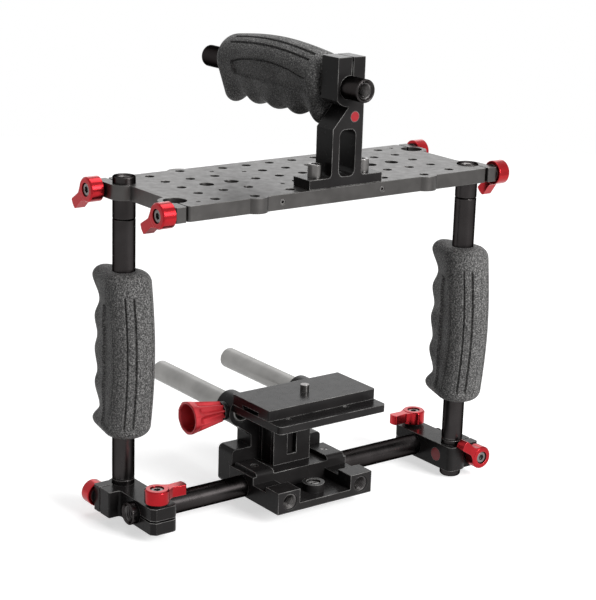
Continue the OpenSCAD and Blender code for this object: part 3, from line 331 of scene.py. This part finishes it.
def finger_reach(t):
    """How far the finger side stands from the bore's axis, at t along the grip."""
    for (t0, r0), (t1, r1) in zip(KNOTS, KNOTS[1:]):
        if t <= t1:
            return r0 + (r1 - r0) * ease((t - t0) / (t1 - t0))
    return GUARD


def span(t, lo, hi, run):
    """1 between lo and hi along the grip, falling to 0 over the run at both."""
    return ease((t - lo) / run) * ease((hi - t) / run)


def skin_cut(share, a, t, flank, length):
    """Depth taken off the skin: the sunk side panel, the palm grooves and the parting line."""
    along = (a - flank) * math.pi / 180 * PALM_R if share >= 1 else (share - 1) * length
    middle = max(0.0, math.sin(math.pi * (t - PANEL_LOW) / PANEL_LEN)) ** PANEL_SHAPE
    wide = PANEL_END_W + (1 - PANEL_END_W) * middle
    back = math.radians(PANEL_BACK - flank) * PALM_R * wide
    front = -PANEL_FLANK * length * wide
    inside = min(along - front, back - along)
    depth = PANEL_DEPTH * ease(inside / PANEL_EDGE + 0.5)
    rim = back - along
    if 0 < rim < RIM_W:
        depth += RIM_DEEP * math.sin(math.pi * rim / RIM_W)
    depth *= span(t, *PANEL_SPAN)
    if share >= 1:
        for v, half_w, deep in GROOVES:
            gap = abs(math.radians(180 - a) - math.asin(v / PALM_R)) * PALM_R
            if gap < half_w:
                depth += deep * span(t, *GROOVE_SPAN) * math.sqrt(1 - gap / half_w)
    return depth


def grip_ring(t, arc=22, flat=40, palm_arc=150):
    """The grip's outline at t: finger arc, flank and palm arc, and the same mirrored."""
    end = min(t, GRIP_LEN - t)
    inset = END_R - math.sqrt(max(0, END_R ** 2 - (END_R - end) ** 2)) if end < END_R else 0
    back = PALM_BACK + BULGE * math.sin(math.pi * t / GRIP_LEN)
    front = finger_reach(t) - FINGER_R
    reach = front + back
    flank = math.degrees(math.acos((PALM_R - FINGER_R) / reach))
    length = math.sqrt(reach ** 2 - (PALM_R - FINGER_R) ** 2)
    half = [(0.0, flank * i / arc) for i in range(arc)]
    half += [(i / flat, flank) for i in range(flat)]
    half += [(1.0, flank + (180 - flank) * i / palm_arc) for i in range(palm_arc + 1)]
    points = []
    for q, a in half + [(q, 360 - a) for q, a in reversed(half[1:-1])]:
        cut = skin_cut(q, min(a, 360 - a), t, flank, length)
        r = FINGER_R + (PALM_R - FINGER_R) * q - inset - cut
        w = math.radians(a)
        points.append((front - reach * q + r * math.cos(w), r * math.sin(w), t))
    return points


def grip_mesh(place, along=180):
    stations = [END_R * (1 - math.cos(math.radians(a))) for a in range(0, 90, 9)]
    body = [END_R + (GRIP_LEN - 2 * END_R) * i / along for i in range(along + 1)]
    rings = [grip_ring(t) for t in stations + body + [GRIP_LEN - s for s in reversed(stations)]]
    around = len(rings[0])
    verts = [place(*point) for ring in rings for point in ring]
    faces = skin_faces(len(rings), around)
    low = len(verts)
    for t in (0, GRIP_LEN):
        for i in range(around):
            a = 2 * math.pi * i / around
            verts.append(place(BORE_R * math.cos(a), BORE_R * math.sin(a), t))
    top, high = (len(rings) - 1) * around, low + around
    for i, j in ring_pairs(around):
        faces.append((i, low + i, low + j, j))
        faces.append((top + i, top + j, high + j, high + i))
        faces.append((low + i, high + i, high + j, low + j))
    return verts, faces


def post_place(post, turn):
    """Stands a grip upright on a post, its finger side turned from +Y by the given angle."""
    px, py = post
    c, s = math.cos(math.radians(90 + turn)), math.sin(math.radians(90 + turn))
    return lambda x, y, z: (px + x * c - y * s, py + x * s + y * c, z + GRIP_FOOT_Z)


def handle_place(x, y, z):
    """Lays a grip along the handle's tube, its finger side down."""
    return -y, HANDLE_GRIP_Y + z, TUBE_Z - x


def make_grips():
    for node, body, place in (
            ("left_side_grip", "frame", post_place(LEFT_POST, LEFT_GRIP_TURN)),
            ("right_side_grip", "frame", post_place(RIGHT_POST, 0)),
            ("handle_grip", "handle", handle_place)):
        verts, faces = grip_mesh(place)
        piece = new_piece(node + "_skin", verts, faces, body, "foam_rubber", sharp=60)
        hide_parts(node)


# Sizes of the clamp knob, as in the part's source
KNOB_OPEN_R, KNOB_INNER_R, KNOB_HOLLOW, KNOB_WALL, KNOB_FLUTES = 11.75, 7.25, 13.0, 2.0, 10
# Its flutes and roundings, softer than the source's
FLUTE_START, FLUTE_RUN, FLUTE_DEEP, LIP_DEEP = 3.6, 4.5, 1.9, 0.3
HOLLOW_END_R, KNOB_ROUND, KNOB_STEPS, STUD_GAP, TIP_R = 6.3, 0.5, 60, 0.1, 0.4


def knob_rings(length, stud_r, bore_deep):
    """Distance from the open end, radius and flute depth of each ring, from inside out."""
    mouth_r = KNOB_OPEN_R - KNOB_WALL
    rings = [(KNOB_HOLLOW, TIP_R, 0), (KNOB_HOLLOW, 6.0, 0),
             (KNOB_HOLLOW - 0.3, HOLLOW_END_R, 0)]
    rings += [(s, mouth_r - (mouth_r - HOLLOW_END_R) * s / KNOB_HOLLOW, 0)
              for s in (9, 6, 3, 1, 0.4)]
    rings += [(0.05, mouth_r + 0.3, 0), (0.0, mouth_r + 0.5, 0)]
    for i in range(KNOB_STEPS + 1):
        s = length * i / KNOB_STEPS
        round_off = sum(KNOB_ROUND * (1 - ease(d / KNOB_ROUND)) for d in (s, length - s))
        flute = LIP_DEEP + FLUTE_DEEP * ease((s - FLUTE_START) / FLUTE_RUN)
        r = KNOB_OPEN_R + (KNOB_INNER_R - KNOB_OPEN_R) * s / length - round_off
        rings.append((s, r, flute))
    bore_end = length - bore_deep
    return rings + [(length, stud_r + 0.35, 0), (length - 0.2, stud_r + STUD_GAP, 0),
                    (bore_end, stud_r + STUD_GAP, 0), (bore_end, TIP_R, 0)]


def make_knob(around=200):
    """The clamp knob, open at its far end, with round flutes that fade out behind the rim."""
    lo, hi = (Vector(v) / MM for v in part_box("rod_clamp_knob"))
    stud_lo, stud_hi = (Vector(v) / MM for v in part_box("rod_clamp_stud"))
    mid_y, mid_z = (lo.y + hi.y) / 2, (lo.z + hi.z) / 2
    rings = knob_rings(hi.x - lo.x, (stud_hi.y - stud_lo.y) / 2, hi.x - stud_lo.x + STUD_GAP)
    verts = []
    for s, r, flute in rings:
        for i in range(around):
            a = 2 * math.pi * i / around
            w = r - flute * ((1 + math.cos(KNOB_FLUTES * a)) / 2) ** 0.7
            verts.append((lo.x + s, mid_y + w * math.cos(a), mid_z + w * math.sin(a)))
    faces = skin_faces(len(rings), around)
    last = (len(rings) - 1) * around
    faces.append(tuple(reversed(range(around))))
    faces.append(tuple(range(last, last + around)))
    piece = new_piece("rod_clamp_knob_fluted", verts, faces, "knob", "red_anodised", sharp=50)
    piece.data.materials[0] = MATS["red_knob"]
    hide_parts("rod_clamp_knob")


# Internal threads, in mm: pitch, radii of thread and sleeve, and points around and per turn
THREAD_PITCH, THREAD_MAJOR, THREAD_MINOR, SLEEVE_R = 1.5, 5.17, 4.5, 5.19
THREAD_AROUND, THREAD_PER = 48, 6
# Depth of each bore, how far its thread starts behind the mouth and ends before the bottom
ROD_BORE, BASE_BORE, ROD_SINK, BASE_SINK, THREAD_END = 14, 12.5, 1.25, 0.9, 0.2


def thread_liner(name, mouth, axis, depth, body, sink):
    """An internal screw thread seen in a rod's open end, as a closed sleeve inside the bore."""
    axis = Vector(axis).normalized()
    side = axis.orthogonal().normalized()
    other = axis.cross(side)
    mouth = Vector(mouth)
    steps = int((depth - sink - THREAD_END) / THREAD_PITCH * THREAD_PER)
    verts, faces = [], []

    def add(r, a, z):
        p = mouth - axis * z + (side * math.cos(a) + other * math.sin(a)) * r
        verts.append(tuple(p))

    for k in range(steps + 1):
        z = sink + k * THREAD_PITCH / THREAD_PER
        for i in range(THREAD_AROUND):
            phase = (k / THREAD_PER + i / THREAD_AROUND) % 1
            depth_here = (THREAD_MAJOR - THREAD_MINOR) * (1 - abs(2 * phase - 1))
            add(THREAD_MAJOR - depth_here, 2 * math.pi * i / THREAD_AROUND, z)
    inner = len(verts)
    outer = inner + THREAD_AROUND
    for z in (sink, sink + steps * THREAD_PITCH / THREAD_PER):
        for i in range(THREAD_AROUND):
            add(SLEEVE_R, 2 * math.pi * i / THREAD_AROUND, z)
    pairs = ring_pairs(THREAD_AROUND)
    for k in range(steps):
        low, high = k * THREAD_AROUND, (k + 1) * THREAD_AROUND
        faces += [(low + i, high + i, high + j, low + j) for i, j in pairs]
    last = steps * THREAD_AROUND
    for i, j in pairs:
        faces.append((inner + i, i, j, inner + j))
        faces.append((last + i, outer + i, outer + j, last + j))
        faces.append((inner + i, inner + j, outer + j, outer + i))
    new_piece(name, verts, faces, body, "black_rod", sharp=30)


def make_threads():
    rod_half, base_y, base_z = 134.5, -42.3, -212.35
    for name, mouth, axis, body in (
            ("thread_left_post_top", (*LEFT_POST, 4.5), (0, 0, 1), "frame"),
            ("thread_right_post_top", (*RIGHT_POST, 0.8), (0, 0, 1), "frame"),
            ("thread_left_post_foot", (*LEFT_POST, -222.3), (0, 0, -1), "frame"),
            ("thread_rod_left", (-rod_half, 0, ROD_Z), (-1, 0, 0), "frame"),
            ("thread_rod_right", (rod_half, 0, ROD_Z), (1, 0, 0), "frame"),
            ("thread_handle_front", (0, -63.1, TUBE_Z), (0, -1, 0), "handle"),
            ("thread_handle_back", (0, 112.2, TUBE_Z), (0, 1, 0), "handle"),
            ("thread_base_left", (-33.5, base_y, base_z), (0, -1, 0), "base"),
            ("thread_base_right", (26.5, base_y, base_z), (0, -1, 0), "base")):
        depth, sink = (BASE_BORE, BASE_SINK) if body == "base" else (ROD_BORE, ROD_SINK)
        thread_liner(name, mouth, axis, depth, body, sink)


# ---- Floor, backdrop and light ----

FLOOR_GAP = 0.0005
# The floor's corners: metres along the camera's look direction, and across it
FLOOR_CORNERS = ((-0.42, -0.6), (-0.42, 0.6), (1.3, 1.1), (1.3, -1.1))
FLOOR_TONES = (0.3, (0.60, 0.60, 0.60)), (0.7, (0.63, 0.63, 0.63))
FLOOR_SHOWN, FLOOR_LIT = 0.60, 0.0
WORLD_SHOWN, WORLD_LIT = 1.0, 0.1
LAMP_AIM = (0, 0, -0.08)
# Each lamp's name, place, size in metres and power in watts
LAMPS = (("top", (0.4, 0.1, 1.7), (1.2, 1.4), 20),
         ("front", (0.4, -1.7, 0.7), (0.8, 0.9), 50),
         ("back", (0.9, 1.3, 0.6), (1.2, 0.6), 2.5))


def shown_strength(tree, shown, lit):
    """`shown` for the rays that show the background, seen or mirrored, and `lit` for the rest."""
    path = tree.nodes.new("ShaderNodeLightPath").outputs
    total = path["Is Camera Ray"]
    for kind in ("Is Glossy Ray", "Is Transmission Ray"):
        either = tree.nodes.new("ShaderNodeMath")
        either.operation = "MAXIMUM"
        tree.links.new(total, either.inputs[0])
        tree.links.new(path[kind], either.inputs[1])
        total = either.outputs[0]
    pick = tree.nodes.new("ShaderNodeMapRange")
    pick.inputs["To Min"].default_value = lit
    pick.inputs["To Max"].default_value = shown
    tree.links.new(total, pick.inputs["Value"])
    return pick.outputs["Result"]


def make_stage():
    """A plain pale table. It ends behind the part; past it the backdrop is white."""
    floor_z = cad_lo.z - FLOOR_GAP
    look = Vector((-math.sin(math.radians(AZIMUTH)), math.cos(math.radians(AZIMUTH)), 0))
    across = Vector((look.y, -look.x, 0))
    verts = [tuple(look * s + across * w + Vector((0, 0, floor_z))) for s, w in FLOOR_CORNERS]
    mesh = bpy.data.meshes.new("studio_floor")
    mesh.from_pydata(verts, [], [(0, 1, 2, 3)])
    floor = bpy.data.objects.new("studio_floor", mesh)
    scene.collection.objects.link(floor)
    s = Shader("studio_floor")
    s.link(s.ramp(s.noise(2, 2), *FLOOR_TONES), s.bsdf.inputs["Base Color"])
    s.bsdf.inputs["Roughness"].default_value = 0.9
    s.bsdf.inputs["Emission Color"].default_value = (1, 1, 1, 1)
    s.link(shown_strength(s.tree, FLOOR_SHOWN, FLOOR_LIT), s.bsdf.inputs["Emission Strength"])
    mesh.materials.append(s.mat)


def soft_light(name, place, size, power):
    data = bpy.data.lights.new(name, "AREA")
    data.shape = "RECTANGLE"
    data.size, data.size_y = size
    data.energy = power
    lamp = bpy.data.objects.new(name, data)
    scene.collection.objects.link(lamp)
    lamp.location = place
    lamp.rotation_mode = "QUATERNION"
    lamp.rotation_quaternion = (Vector(LAMP_AIM) - Vector(place)).to_track_quat("-Z", "Y")


def make_lights():
    world = bpy.data.worlds.new("studio")
    world.use_nodes = True
    tree = world.node_tree
    back = tree.nodes["Background"]
    back.inputs["Color"].default_value = (1, 1, 1, 1)
    tree.links.new(shown_strength(tree, WORLD_SHOWN, WORLD_LIT), back.inputs["Strength"])
    scene.world = world
    for lamp in LAMPS:
        soft_light(*lamp)
    scene.view_settings.view_transform = "Standard"


make_camera()
dress_cad_nodes()
make_grips()
make_knob()
make_threads()
make_stage()
make_lights()
